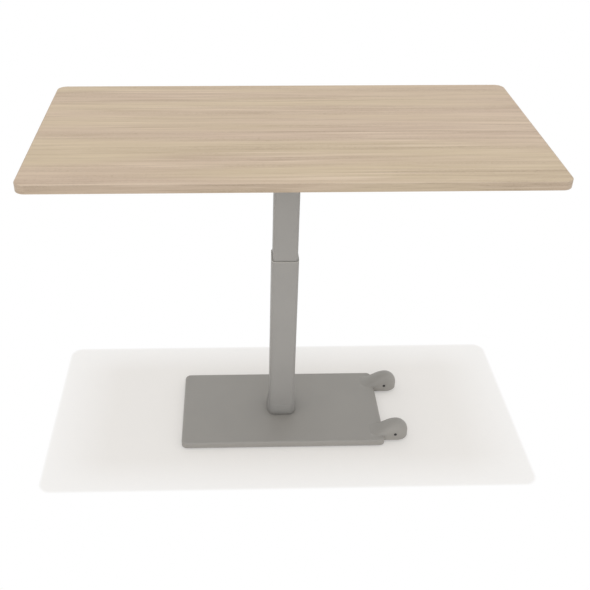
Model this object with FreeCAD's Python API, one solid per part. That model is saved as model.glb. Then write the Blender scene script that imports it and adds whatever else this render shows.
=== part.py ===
# Telescoping pedestal table: a rectangular laminate worktop on one square column.
# A lockable gas spring stands inside the column, and a lever under the worktop opens its valve.
# The base plate rests on four levelling glides and has two tip-and-roll wheels at its +X end.
# Frame: millimetres, +Z up, origin on the floor under the column, user at -Y, worktop raised.
import FreeCAD
import Part
import math
import os
from FreeCAD import Vector

# Worktop
top_length = 1473.0
top_depth = 737.0
top_thickness = 25.0
top_corner_radius = 30.0
top_height = 1103.0
laminate_thickness = 1.0
band_thickness = 2.0
band_edge_radius = 1.5

# Travel of the worktop down from its raised position
travel = 375.0
closing_gap = 4.0

# Spider under the worktop
arm_height = 25.0
arm_tip_height = 13.0
arm_width = 40.0
arm_wall = 3.0
arm_bend_radius = 5.0
arm_root = 54.0
arm_reach = 520.0
arm_angle = 27.0
head_plate_size = 220.0
head_plate_thickness = 6.0
head_plate_corner = 18.0
wood_screw_radius = 2.5
wood_screw_head_radius = 5.0
wood_screw_head_height = 3.0
wood_screw_cover = 9.0
wood_screw_end_inset = 30.0
wood_screws_per_arm = 3

# Column tubes and guides
outer_width = 88.0
outer_wall = 2.5
outer_corner = 14.0
guide_space = 1.5
inner_wall = 3.0
tube_overlap = 140.0
rim_height = 3.0
bush_height = 45.0
shoe_height = 60.0
shoe_lip = 3.0
slide_clearance = 0.3
fit_clearance = 0.1

# Gas spring
cylinder_radius = 18.0
cylinder_wall = 3.0
cylinder_floor = 10.0
gland_height = 20.0
piston_height = 20.0
piston_margin = 8.0
seal_height = 5.0
seal_depth = 2.5
rod_radius = 6.0
rod_shoulder = 1.0
rod_thread_above_nut = 1.5
rod_nut_flats = 17.0
rod_nut_height = 5.0
valve_pin_radius = 2.5
valve_pin_length = 23.0
valve_pin_out = 3.5
valve_travel = 2.5
stud_radius = 6.0
stud_nut_flats = 19.0
stud_nut_height = 5.0
running_clearance = 0.05

# Release lever
lever_arm = 42.0
lever_tail = 10.0
lever_width = 24.0
lever_thickness = 4.0
lever_joggle_run = 16.0
lever_joggle_lead = 6.0
lever_pin_gap = 0.3
pivot_radius = 3.0
knuckle_wall = 2.5
bracket_wall = 3.0
bracket_length = 18.0
bracket_margin = 4.0
pivot_head_radius = 5.0
pivot_head_height = 2.0
grip_length = 72.0
grip_width = 84.0
grip_thickness = 9.0
grip_wall = 2.5
grip_corner = 12.0
grip_edge_radius = 3.0
grip_setback = 58.0
grip_top_gap = 2.5
grip_screw_radius = 2.0
grip_screw_spacing = 30.0

# Base
base_length = 710.0
base_depth = 378.0
base_corner = 20.0
base_edge_radius = 7.0
cover_sheet = 2.5
cover_lift = 3.5
ballast_thickness = 10.0
ballast_lift = 6.0
ballast_gap = 1.0
foot_plate_size = 150.0
foot_plate_thickness = 7.5
foot_plate_corner = 10.0
collar_flare = 6.5
collar_height = 42.0
column_bolt_radius = 4.0
column_bolt_inset = 14.0
bolt_head_radius = 6.5
bolt_head_height = 4.5
bolt_recess_gap = 1.0
spacer_radius = 9.0
spacer_inset_x = 110.0
spacer_inset_y = 44.0

# Levelling glides
glide_inset_x = 55.0
glide_inset_y = 44.0
glide_radius = 17.0
glide_stem_radius = 4.0
glide_stem_gap = 1.5
glide_edge_radius = 1.5

# Wheels and their housings
wheel_inset_y = 56.0
wheel_floor_gap = 4.0
axle_radius = 4.0
axle_recess = 3.0
wheel_radius = 28.0
wheel_width = 26.0
tyre_thickness = 7.0
tyre_edge_radius = 3.0
hub_groove_depth = 4.0
hub_boss_radius = 8.0
wheel_side_gap = 2.0
wheel_rim_gap = 3.0
housing_lift = 6.0
housing_roof = 8.0
housing_front_wall = 17.0
housing_back_wall = 6.5
housing_cheek = 20.0
housing_tail_length = 52.0
housing_crown_offset = 6.0
housing_tail_sections = 7
housing_tail_end_ratio = 0.95
housing_tail_fullness = 0.95
housing_tail_narrowing_ratio = 0.15
housing_hem_radius = 2.5
housing_edge_gap = 0.5
housing_screw_radius = 2.5
housing_screw_back = 17.5
housing_screw_spacing = 22.0
housing_screw_bite = 6.0
housing_screw_head_radius = 4.5
housing_screw_head_height = 3.0

# Worktop and head
top_underside = top_height - top_thickness
head_top = top_underside - arm_height
head_underside = head_top - head_plate_thickness
wood_screw_top = top_height - wood_screw_cover
web_underside = top_underside - arm_wall

# Base stack
ballast_top = ballast_lift + ballast_thickness
cover_inside = ballast_top + foot_plate_thickness
base_height = cover_inside + cover_sheet
column_bolt_place = foot_plate_size / 2 - column_bolt_inset
bolt_head_bottom = ballast_lift + bolt_recess_gap

# Column stages, with the worktop raised
mouth_top = head_underside - travel - closing_gap
outer_top = mouth_top - rim_height
inner_bottom = outer_top - tube_overlap
outer_bore = outer_width - 2 * outer_wall
outer_bore_corner = outer_corner - outer_wall
inner_width = outer_bore - 2 * guide_space
inner_corner = outer_bore_corner - guide_space
inner_bore = inner_width - 2 * inner_wall
inner_bore_corner = inner_corner - inner_wall

# Gas spring
cylinder_bore = cylinder_radius - cylinder_wall
piston_radius = cylinder_bore - fit_clearance
rod_thread_radius = rod_radius - rod_shoulder
chamber_bottom = cover_inside + cylinder_floor
piston_bottom = chamber_bottom + piston_margin + travel
piston_top = piston_bottom + piston_height
seal_bottom = piston_top + piston_margin
gland_bottom = seal_bottom + seal_height
cylinder_top = gland_bottom + gland_height
rod_nut_top = head_top + rod_nut_height
rod_end = rod_nut_top + rod_thread_above_nut
valve_pin_top = rod_end + valve_pin_out

# Release lever, level as when it is squeezed
lever_swing = math.degrees(math.asin(valve_travel / lever_arm))
lever_underside = valve_pin_top - valve_travel + lever_pin_gap
lever_front = top_depth / 2 - grip_setback - lever_arm
lever_joggle_end = lever_front - grip_length - lever_joggle_lead
pivot_height = lever_underside + lever_thickness / 2
grip_underside = top_underside - grip_top_gap - grip_thickness
front_underside = grip_underside + grip_wall
bracket_inside = lever_width / 2 + 2 * fit_clearance
bracket_outside = bracket_inside + bracket_wall

# Wheels and housings
axle_height = wheel_radius + wheel_floor_gap
well_radius = wheel_radius + wheel_rim_gap
well_half_width = wheel_width / 2 + wheel_side_gap
housing_end = base_length / 2 + housing_edge_gap
axle_x = housing_end + housing_back_wall + well_radius
wheel_y = base_depth / 2 - wheel_inset_y
housing_rise = axle_height + well_radius + housing_roof - base_height
housing_nose = well_radius + housing_front_wall
housing_tail = axle_x - base_length / 2 + housing_tail_length
housing_half_width = well_half_width + housing_cheek
housing_reach = housing_nose - housing_crown_offset
housing_length = housing_tail + housing_crown_offset
housing_drop = base_height - housing_lift
round_share = 4 / 3 * (math.sqrt(2) - 1)


def rounded_rectangle(length, depth, radius, z):
    """Closed wire of a rectangle with round corners, centred on the Z axis."""
    x = length / 2
    y = depth / 2
    bulge = radius * (1 - math.sqrt(0.5))
    edges = []
    for turn in range(4):
        along, across = (x, y) if turn % 2 == 0 else (y, x)
        start = Vector(along, -across + radius, z)
        end = Vector(along, across - radius, z)
        middle = Vector(along - bulge, across - bulge, z)
        corner_end = Vector(along - radius, across, z)
        side = Part.makeLine(start, end)
        corner = Part.Arc(end, middle, corner_end).toShape()
        for edge in (side, corner):
            edge.rotate(Vector(0, 0, 0), Vector(0, 0, 1), 90 * turn)
            edges.append(edge)
    return Part.Wire(edges)


def rounded_prism(length, depth, radius, bottom, top):
    """Upright block with round corners between two heights."""
    face = Part.Face(rounded_rectangle(length, depth, radius, bottom))
    return face.extrude(Vector(0, 0, top - bottom))


def square_ring(outer, outer_radius, inner, inner_radius, bottom, top):
    """Length of square tube with round corners."""
    wall = rounded_prism(outer, outer, outer_radius, bottom, top)
    return wall.cut(rounded_prism(inner, inner, inner_radius, bottom, top))


def rounded_edges(solid, radius, heights):
    """Rounds the outline edges of a prism that lie at the given heights."""
    box = [e for e in solid.Edges for z in heights
           if abs(e.BoundBox.ZMin - z) < 1e-6 and abs(e.BoundBox.ZMax - z) < 1e-6]
    return solid.makeFillet(radius, box)


def post(radius, x, y, bottom, top):
    """Upright cylinder between two heights."""
    return Part.makeCylinder(radius, top - bottom, Vector(x, y, bottom))


def crosswise(radius, x, z, start, end):
    """Cylinder along Y between two positions."""
    return Part.makeCylinder(radius, end - start, Vector(x, start, z), Vector(0, 1, 0))


def sideways(radius, y, z, half_length):
    """Cylinder along X, centred on the column."""
    return Part.makeCylinder(radius, 2 * half_length, Vector(-half_length, y, z), Vector(1, 0, 0))


def hexagon(flats, x, y, bottom, top):
    """Hexagonal prism by its width across flats."""
    corner = flats / math.sqrt(3)
    points = [Vector(x + corner * math.cos(math.radians(60 * k)),
                     y + corner * math.sin(math.radians(60 * k)), bottom) for k in range(7)]
    return Part.Face(Part.makePolygon(points)).extrude(Vector(0, 0, top - bottom))


def block(x0, x1, y0, y1, z0, z1):
    """Plain box between two corners."""
    return Part.makeBox(x1 - x0, y1 - y0, z1 - z0, Vector(x0, y0, z0))


def corners(x, y):
    """The four points at plus and minus x and y."""
    return [(sx * x, sy * y) for sx in (-1, 1) for sy in (-1, 1)]


def arm_direction(side, face):
    """Unit step along one spider arm: side is -1 or 1 for left or right, face for front or rear."""
    angle = math.radians(arm_angle)
    return Vector(side * math.cos(angle), face * math.sin(angle), 0)


def wood_screw_points():
    """Places of the screws along the four arms."""
    first = head_plate_size / 2 / math.cos(math.radians(arm_angle)) + wood_screw_end_inset
    last = arm_reach - wood_screw_end_inset
    points = []
    for side in (-1, 1):
        for face in (-1, 1):
            for k in range(wood_screws_per_arm):
                reach = first + (last - first) * k / (wood_screws_per_arm - 1)
                points.append(arm_direction(side, face) * reach)
    return points


# Worktop
def make_edge_band():
    """Wood-grained band round the worktop with eased edges."""
    outer = rounded_prism(top_length, top_depth, top_corner_radius, top_underside, top_height)
    outer = rounded_edges(outer, band_edge_radius, (top_underside, top_height))
    return outer.cut(board_layer(top_underside, top_height))


def board_layer(bottom, top):
    """Full layer of the board inside the edge band."""
    return rounded_prism(top_length - 2 * band_thickness, top_depth - 2 * band_thickness,
                         top_corner_radius - band_thickness, bottom, top)


def make_laminate():
    return board_layer(top_height - laminate_thickness, top_height)


def screwed_layer(bottom, top):
    """Layer of the board with the pilot holes of the wood screws."""
    layer = board_layer(bottom, top)
    hole_top = wood_screw_top + fit_clearance
    for p in wood_screw_points():
        layer = layer.cut(post(wood_screw_radius + fit_clearance, p.x, p.y, bottom, min(top, hole_top)))
    return layer


def make_core():
    return screwed_layer(top_underside + laminate_thickness, top_height - laminate_thickness)


def make_backer():
    return screwed_layer(top_underside, top_underside + laminate_thickness)


def make_wood_screws():
    """Pan-head screws through the arms into the board."""
    screws = []
    for p in wood_screw_points():
        shank = post(wood_screw_radius, p.x, p.y, web_underside, wood_screw_top)
        head = post(wood_screw_head_radius, p.x, p.y, web_underside - wood_screw_head_height, web_underside)
        head = rounded_edges(head, wood_screw_head_height / 2, (web_underside - wood_screw_head_height,))
        screws.append(shank.fuse(head).removeSplitter())
    return Part.makeCompound(screws)


# Spider and head
def make_arm(side, face):
    """Pressed channel, deep at the head plate and shallow at its closed tip."""
    knee = head_plate_size / 2
    reach_inside = arm_reach - arm_wall
    outline = [(arm_root, 0), (arm_reach, 0), (arm_reach, -arm_tip_height), (knee, -arm_height),
               (arm_root, -arm_height), (arm_root, 0)]
    hollow = [(arm_root, -arm_wall), (reach_inside, -arm_wall), (reach_inside, -2 * arm_height),
              (arm_root, -2 * arm_height), (arm_root, -arm_wall)]
    outer = side_extrusion(outline, arm_width)
    bends = [e for e in outer.Edges if e.BoundBox.ZMin > -1e-6 and e.BoundBox.XMax > arm_root + 1]
    outer = outer.makeFillet(arm_bend_radius, bends)
    inner = side_extrusion(hollow, arm_width - 2 * arm_wall)
    lowest = -arm_wall - 1e-6
    bends = [e for e in inner.Edges if e.BoundBox.ZMin > lowest and e.BoundBox.XMax > arm_root + 1]
    inner = inner.makeFillet(arm_bend_radius - arm_wall, bends)
    arm = outer.cut(inner)
    direction = arm_direction(side, face)
    turn = math.degrees(math.atan2(direction.y, direction.x))
    arm.rotate(Vector(0, 0, 0), Vector(0, 0, 1), turn)
    arm.translate(Vector(0, 0, top_underside))
    for p in wood_screw_points():
        arm = arm.cut(post(wood_screw_radius + fit_clearance, p.x, p.y, web_underside, top_underside))
    return arm


def side_extrusion(points, width):
    """Solid from an outline in X and Z, spread evenly to both sides of Y."""
    wire = Part.makePolygon([Vector(x, -width / 2, z) for x, z in points])
    return Part.Face(wire).extrude(Vector(0, width, 0))


def make_head_plate():
    plate = rounded_prism(head_plate_size, head_plate_size, head_plate_corner, head_underside, head_top)
    return plate.cut(post(rod_thread_radius + running_clearance, 0, 0, head_underside, head_top))


# Column
def make_outer_tube():
    return square_ring(outer_width, outer_corner, outer_bore, outer_bore_corner, cover_inside, outer_top)


def make_inner_tube():
    bore = (inner_bore, inner_bore_corner)
    return square_ring(inner_width, inner_corner, *bore, inner_bottom, head_underside)


def make_mouth_bush():
    """Plastic guide in the mouth of the outer tube, with a rim on the tube's end."""
    bore = inner_width + 2 * slide_clearance
    bore_corner = inner_corner + slide_clearance
    body = outer_bore - 2 * fit_clearance
    body_corner = outer_bore_corner - fit_clearance
    rim = rounded_prism(outer_width, outer_width, outer_corner, outer_top, mouth_top)
    rim = rounded_edges(rim, rim_height / 3, (mouth_top,))
    sleeve = rounded_prism(body, body, body_corner, outer_top - bush_height, outer_top)
    bush = rim.fuse(sleeve).removeSplitter()
    return bush.cut(rounded_prism(bore, bore, bore_corner, outer_top - bush_height, mouth_top))


def make_slide_shoe():
    """Plastic shoe on the lower end of the inner tube, running inside the outer tube."""
    body = outer_bore - 2 * slide_clearance
    seat = inner_width + 2 * fit_clearance
    bottom = inner_bottom - shoe_lip
    shoe = rounded_prism(body, body, outer_bore_corner - slide_clearance, bottom, bottom + shoe_height)
    seat_hole = rounded_prism(seat, seat, inner_corner + fit_clearance, inner_bottom, bottom + shoe_height)
    floor_hole = rounded_prism(inner_bore, inner_bore, inner_bore_corner, bottom, inner_bottom)
    return shoe.cut(seat_hole).cut(floor_hole)


# Gas spring
def make_cylinder():
    """Pressure tube with a closed floor and a stud through the base."""
    tube = post(cylinder_radius, 0, 0, cover_inside, cylinder_top)
    tube = tube.cut(post(cylinder_bore, 0, 0, chamber_bottom, cylinder_top))
    return tube.fuse(post(stud_radius, 0, 0, ballast_lift, cover_inside)).removeSplitter()


def make_gland():
    gland = post(cylinder_bore - fit_clearance, 0, 0, gland_bottom, cylinder_top)
    return gland.cut(post(rod_radius + running_clearance, 0, 0, gland_bottom, cylinder_top))


def make_rod_seal():
    seal = post(cylinder_bore - fit_clearance, 0, 0, seal_bottom, gland_bottom)
    return seal.cut(post(rod_radius + running_clearance, 0, 0, seal_bottom, gland_bottom))


def piston_groove(outer_radius):
    """Ring-shaped space of the piston seal, out to a radius."""
    bottom = (piston_bottom + piston_top - seal_height) / 2
    ring = post(outer_radius, 0, 0, bottom, bottom + seal_height)
    return ring.cut(post(piston_radius - seal_depth, 0, 0, bottom, bottom + seal_height))


def make_piston():
    piston = post(piston_radius, 0, 0, piston_bottom, piston_top).cut(piston_groove(cylinder_bore))
    return piston.cut(post(rod_thread_radius, 0, 0, piston_bottom, piston_top))


def make_piston_seal():
    return piston_groove(cylinder_bore - running_clearance)


def make_rod():
    """Rod with a threaded end in the piston, a threaded end in the head plate and a valve bore."""
    rod = post(rod_radius, 0, 0, piston_top, head_underside)
    rod = rod.fuse(post(rod_thread_radius, 0, 0, head_underside, rod_end))
    rod = rod.fuse(post(rod_thread_radius - fit_clearance, 0, 0, piston_bottom, piston_top))
    bore_bottom = valve_pin_top - valve_pin_length - 2 * valve_travel
    return rod.removeSplitter().cut(post(valve_pin_radius + running_clearance, 0, 0, bore_bottom, rod_end))


def make_rod_nut():
    nut = hexagon(rod_nut_flats, 0, 0, head_top, rod_nut_top)
    return nut.cut(post(rod_thread_radius + running_clearance, 0, 0, head_top, rod_nut_top))


def make_stud_nut():
    nut_top = ballast_lift + stud_nut_height
    nut = hexagon(stud_nut_flats, 0, 0, ballast_lift, nut_top)
    return nut.cut(post(stud_radius + running_clearance, 0, 0, ballast_lift, nut_top))


def make_valve_pin():
    pin = post(valve_pin_radius, 0, 0, valve_pin_top - valve_pin_length, valve_pin_top)
    return rounded_edges(pin, valve_pin_radius / 2, (valve_pin_top,))


# Release lever, drawn level as when it is squeezed and then let down to rest
def lever_at_rest(shape):
    shape.rotate(Vector(0, -lever_arm, pivot_height), Vector(1, 0, 0), lever_swing)
    return shape


def lever_outline():
    """Side outline of the joggled bar, from its tail over the valve pin to its front end."""
    lower = [(-lever_arm - lever_tail, lever_underside),
             (lever_joggle_end - lever_joggle_run, lever_underside),
             (lever_joggle_end, front_underside),
             (lever_front, front_underside)]
    bottom = [Vector(-lever_width / 2, -lever_arm - reach, z) for reach, z in lower]
    top = [p + Vector(0, 0, lever_thickness) for p in reversed(bottom)]
    return bottom + top + bottom[:1]


def grip_screw_places():
    """Y of the two screws that hold the paddle."""
    middle = -lever_arm - lever_front + grip_length / 2
    return [middle - grip_screw_spacing / 2, middle + grip_screw_spacing / 2]


def make_lever():
    """Joggled bar with a knuckle round its pivot."""
    bar = Part.Face(Part.makePolygon(lever_outline())).extrude(Vector(lever_width, 0, 0))
    bar = bar.fuse(sideways(pivot_radius + knuckle_wall, -lever_arm, pivot_height, lever_width / 2))
    bar = bar.cut(sideways(pivot_radius + running_clearance, -lever_arm, pivot_height, lever_width / 2))
    for y in grip_screw_places():
        bar = bar.cut(post(grip_screw_radius + fit_clearance, 0, y,
                           front_underside, front_underside + lever_thickness))
    return lever_at_rest(bar.removeSplitter())


def make_grip():
    """Plastic paddle that wraps the front end of the bar."""
    front = -lever_arm - lever_front
    middle = front - grip_wall + grip_length / 2
    grip_top = grip_underside + grip_thickness
    grip = rounded_prism(grip_width, grip_length, grip_corner, grip_underside, grip_top)
    grip = rounded_edges(grip, grip_edge_radius, (grip_underside, grip_top))
    grip.translate(Vector(0, middle, 0))
    slot = lever_width / 2 + fit_clearance
    grip = grip.cut(block(-slot, slot, front - fit_clearance, middle + grip_length,
                          front_underside, front_underside + lever_thickness + fit_clearance))
    for y in grip_screw_places():
        grip = grip.cut(post(grip_screw_radius + fit_clearance, 0, y, grip_underside, front_underside))
    return lever_at_rest(grip)


def make_grip_screws():
    """Low-head screws from under the paddle into the bar."""
    screws = []
    head_bottom = grip_underside - grip_screw_radius
    for y in grip_screw_places():
        shank = post(grip_screw_radius, 0, y, grip_underside, front_underside + lever_thickness)
        head = post(2 * grip_screw_radius, 0, y, head_bottom, grip_underside)
        head = rounded_edges(head, grip_screw_radius / 2, (head_bottom,))
        screws.append(lever_at_rest(shank.fuse(head).removeSplitter()))
    return Part.makeCompound(screws)


def make_lever_bracket():
    """Yoke on the head plate with an ear on each side of the lever."""
    y0 = -lever_arm - bracket_length / 2
    y1 = -lever_arm + bracket_length / 2
    ear_top = pivot_height + pivot_radius + bracket_margin
    yoke = block(-bracket_outside, bracket_outside, y0, y1, head_top, ear_top)
    yoke = yoke.cut(block(-bracket_inside, bracket_inside, y0, y1, head_top + bracket_wall, ear_top))
    return yoke.cut(sideways(pivot_radius + running_clearance, -lever_arm, pivot_height, bracket_outside))


def make_pivot_pin():
    """Pin through both ears and the lever, headed at both ends."""
    pin = sideways(pivot_radius, -lever_arm, pivot_height, bracket_outside + pivot_head_height)
    heads = sideways(pivot_head_radius, -lever_arm, pivot_height, bracket_outside + pivot_head_height)
    heads = heads.cut(sideways(pivot_head_radius, -lever_arm, pivot_height, bracket_outside))
    return pin.fuse(heads).removeSplitter()


# Base
def make_base_cover():
    """Formed steel pan with a rounded upper edge and a square hole for the column."""
    outer = rounded_prism(base_length, base_depth, base_corner, cover_lift, base_height)
    outer = rounded_edges(outer, base_edge_radius, (base_height,))
    inner = rounded_prism(base_length - 2 * cover_sheet, base_depth - 2 * cover_sheet,
                          base_corner - cover_sheet, cover_lift, cover_inside)
    inner = rounded_edges(inner, base_edge_radius - cover_sheet, (cover_inside,))
    hole = outer_width + 2 * fit_clearance
    cover = outer.cut(inner)
    cover = cover.cut(rounded_prism(hole, hole, outer_corner + fit_clearance, cover_inside, base_height))
    for x, y in housing_screw_points():
        cover = cover.cut(post(housing_screw_radius + fit_clearance, x, y, cover_inside, base_height))
    return cover


def make_ballast_plate():
    """Steel plate inside the cover that carries the column, glides and wheel housings."""
    inset = 2 * (cover_sheet + ballast_gap)
    plate = rounded_prism(base_length - inset, base_depth - inset, base_corner, ballast_lift, ballast_top)
    recess_top = ballast_lift + bolt_head_height + bolt_recess_gap
    for x, y in corners(column_bolt_place, column_bolt_place):
        plate = plate.cut(post(column_bolt_radius + fit_clearance, x, y, ballast_lift, ballast_top))
        plate = plate.cut(post(bolt_head_radius + bolt_recess_gap, x, y, ballast_lift, recess_top))
    plate = plate.cut(post(stud_radius + fit_clearance, 0, 0, ballast_lift, ballast_top))
    plate = plate.cut(post(stud_nut_flats, 0, 0, ballast_lift, ballast_lift + stud_nut_height))
    for x, y in glide_points():
        plate = plate.cut(post(glide_stem_radius + running_clearance, x, y, ballast_lift, ballast_top))
    recess = housing_screw_head_height + bolt_recess_gap
    for x, y in housing_screw_points():
        plate = plate.cut(post(housing_screw_radius + fit_clearance, x, y, ballast_lift, ballast_top))
        plate = plate.cut(post(housing_screw_head_radius + bolt_recess_gap, x, y,
                               ballast_lift, ballast_lift + recess))
    return plate


def make_foot_plate():
    """Plate welded under the outer tube and bolted to the ballast plate."""
    plate = rounded_prism(foot_plate_size, foot_plate_size, foot_plate_corner, ballast_top, cover_inside)
    for x, y in corners(column_bolt_place, column_bolt_place):
        plate = plate.cut(post(column_bolt_radius + fit_clearance, x, y, ballast_top, cover_inside))
    return plate.cut(post(stud_radius + fit_clearance, 0, 0, ballast_top, cover_inside))


def make_column_bolts():
    """Socket-head bolts from below, sunk in the ballast plate."""
    bolts = []
    shank_bottom = bolt_head_bottom + bolt_head_height
    for x, y in corners(column_bolt_place, column_bolt_place):
        head = post(bolt_head_radius, x, y, bolt_head_bottom, shank_bottom)
        socket_top = bolt_head_bottom + bolt_head_height / 2
        head = head.cut(hexagon(bolt_head_radius, x, y, bolt_head_bottom, socket_top))
        shank = post(column_bolt_radius, x, y, shank_bottom, cover_inside)
        bolts.append(head.fuse(shank).removeSplitter())
    return Part.makeCompound(bolts)


def make_cover_spacers():
    """Posts that hold the cover up off the ballast plate, two of them round each housing's screws."""
    rings = []
    for x, y in corners(base_length / 2 - spacer_inset_x, base_depth / 2 - spacer_inset_y):
        rings.append(post(spacer_radius, x, y, ballast_top, cover_inside))
    for x, y in housing_screw_points():
        ring = post(spacer_radius, x, y, ballast_top, cover_inside)
        rings.append(ring.cut(post(housing_screw_radius + fit_clearance, x, y, ballast_top, cover_inside)))
    return Part.makeCompound(rings)


def make_foot_collar():
    """Boot round the foot of the column: it swells from the tube and tucks in again at the base."""
    rings = []
    for rise, swell in ((0.0, 0.3), (0.11, 0.8), (0.26, 1.0), (0.5, 0.8), (0.75, 0.4), (1.0, 0.08)):
        width = outer_width + 2 * collar_flare * swell
        corner = outer_corner + 2 * collar_flare * swell
        rings.append(rounded_rectangle(width, width, corner, base_height + collar_height * rise))
    boot = Part.makeLoft(rings, True, False)
    seat = outer_width + 2 * fit_clearance
    seat_corner = outer_corner + fit_clearance
    return boot.cut(rounded_prism(seat, seat, seat_corner, base_height, base_height + collar_height))


# Glides
def glide_points():
    return corners(base_length / 2 - glide_inset_x, base_depth / 2 - glide_inset_y)


def make_glide_stem(x, y):
    return post(glide_stem_radius, x, y, ballast_lift / 2, cover_inside - glide_stem_gap)


def make_glide_pad(x, y):
    """Plastic foot moulded on the stem."""
    pad = post(glide_radius, x, y, 0, ballast_lift)
    pad = rounded_edges(pad, glide_edge_radius, (0, ballast_lift))
    return pad.cut(post(glide_stem_radius, x, y, ballast_lift / 2, ballast_lift))


# Wheels
def housing_screw_points():
    x = base_length / 2 - housing_screw_back
    return [(x, face * wheel_y + step) for face in (-1, 1)
            for step in (-housing_screw_spacing / 2, housing_screw_spacing / 2)]


def housing_nose_body():
    """Round nose over the wheel: rounded hem, upright wall and domed shoulder turned about the crown."""
    bottom = Vector(0, 0, -housing_drop)
    hem = Vector(housing_reach - housing_hem_radius, 0, -housing_drop)
    bulge = housing_hem_radius * math.sqrt(0.5)
    hem_middle = hem + Vector(bulge, 0, housing_hem_radius - bulge)
    wall = Vector(housing_reach, 0, housing_hem_radius - housing_drop)
    shoulder = Vector(housing_reach, 0, 0)
    crown = Vector(0, 0, housing_rise)
    dome = Part.BezierCurve()
    dome.setPoles([shoulder, shoulder + crown * round_share, crown + shoulder * round_share, crown])
    outline = Part.Wire([Part.makeLine(bottom, hem), Part.Arc(hem, hem_middle, wall).toShape(),
                         Part.makeLine(wall, shoulder), dome.toShape(), Part.makeLine(crown, bottom)])
    half = Part.Face(outline)
    half.rotate(Vector(0, 0, 0), Vector(0, 0, 1), -90)
    nose = half.revolve(Vector(0, 0, 0), Vector(0, 0, 1), 180)
    squeeze = FreeCAD.Matrix()
    squeeze.scale(1, housing_half_width / housing_reach, 1)
    return nose.transformGeometry(squeeze)


def housing_arch(x, height, half_width, spread):
    """Arch across the tail: spread 0 stands upright on the base, 1 runs out flat."""
    foot = Vector(x, half_width, 0)
    crown = Vector(x, 0, height)
    lean = Vector(0, -half_width * round_share * spread, height * round_share * (1 - spread))
    shoulder = crown + Vector(0, half_width * round_share, 0)
    flip = FreeCAD.Matrix()
    flip.scale(1, -1, 1)
    right = Part.BezierCurve()
    right.setPoles([foot, foot + lean, shoulder, crown])
    left = Part.BezierCurve()
    left.setPoles([crown] + [flip.multVec(p) for p in (shoulder, foot + lean, foot)])
    return Part.Wire([right.toShape(), left.toShape(), Part.makeLine(flip.multVec(foot), foot)])


def housing_tail_body():
    """Tail behind the crown: its arch sinks and spreads until it runs out on the base."""
    arches = []
    for k in range(housing_tail_sections):
        share = housing_tail_end_ratio * k / (housing_tail_sections - 1)
        sink = ((1 + math.cos(math.pi * share)) / 2) ** housing_tail_fullness
        half_width = housing_half_width * (1 - housing_tail_narrowing_ratio * share ** 2)
        arches.append(housing_arch(-share * housing_length, housing_rise * sink, half_width, share ** 3))
    return Part.makeLoft(arches, True, False)


def housing_side_walls():
    """Straight walls between the nose and the base, with a lip that follows the base's rounded edge."""
    back = housing_end - axle_x - housing_crown_offset
    walls = block(back, 0, -housing_half_width, housing_half_width, -housing_drop, 0)
    hems = [e for e in walls.Edges if e.BoundBox.ZMax < 1e-6 - housing_drop and e.BoundBox.XLength > 1]
    walls = walls.makeFillet(housing_hem_radius, hems)
    round_start = back - housing_edge_gap - base_edge_radius
    lip = block(round_start, back, -housing_half_width, housing_half_width, -base_edge_radius, 0)
    edge_round = crosswise(base_edge_radius + housing_edge_gap, round_start, -base_edge_radius,
                           -housing_half_width, housing_half_width)
    return walls.fuse(lip.cut(edge_round))


def make_housing(face):
    """Cast cover: a round nose over the wheel and a tail that runs out on the base."""
    y = face * wheel_y
    cover = housing_nose_body().fuse([housing_tail_body(), housing_side_walls()]).removeSplitter()
    cover.translate(Vector(axle_x + housing_crown_offset, y, base_height))
    well = crosswise(well_radius, axle_x, axle_height, y - well_half_width, y + well_half_width)
    well = well.fuse(block(axle_x - well_radius, axle_x + well_radius, y - well_half_width,
                           y + well_half_width, 0, axle_height))
    cover = cover.cut(well)
    cover = cover.cut(crosswise(axle_radius, axle_x, axle_height, y - housing_tail, y + housing_tail))
    for sx, sy in housing_screw_points():
        cover = cover.cut(post(housing_screw_radius + fit_clearance, sx, sy, base_height,
                           base_height + housing_screw_bite))
    return cover


def make_housing_screws():
    """Screws from under the ballast plate into the housings' tails."""
    screws = []
    shank_bottom = bolt_head_bottom + housing_screw_head_height
    for x, y in housing_screw_points():
        head = post(housing_screw_head_radius, x, y, bolt_head_bottom, shank_bottom)
        shank = post(housing_screw_radius, x, y, shank_bottom, base_height + housing_screw_bite)
        screws.append(head.fuse(shank).removeSplitter())
    return Part.makeCompound(screws)


def make_axle(face):
    half = housing_half_width - axle_recess
    y = face * wheel_y
    return crosswise(axle_radius - running_clearance, axle_x, axle_height, y - half, y + half)


def make_washers(face):
    """A washer on the axle at each side of the wheel."""
    washers = []
    for side in (-1, 1):
        ends = sorted((face * wheel_y + side * (wheel_width / 2 + slide_clearance),
                       face * wheel_y + side * well_half_width))
        washer = crosswise(hub_boss_radius, axle_x, axle_height, *ends)
        washers.append(washer.cut(crosswise(axle_radius, axle_x, axle_height, *ends)))
    return Part.makeCompound(washers)


def make_hub(face):
    """Nylon hub, dished on both sides round its boss."""
    y = face * wheel_y
    radius = wheel_radius - tyre_thickness
    half = wheel_width / 2
    hub = crosswise(radius, axle_x, axle_height, y - half, y + half)
    for outer, inner in ((y - half, y - half + hub_groove_depth), (y + half - hub_groove_depth, y + half)):
        dish = crosswise(radius - tyre_thickness / 2, axle_x, axle_height, outer, inner)
        hub = hub.cut(dish.cut(crosswise(hub_boss_radius, axle_x, axle_height, outer, inner)))
    return hub.cut(crosswise(axle_radius + running_clearance, axle_x, axle_height, y - half, y + half))


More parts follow.
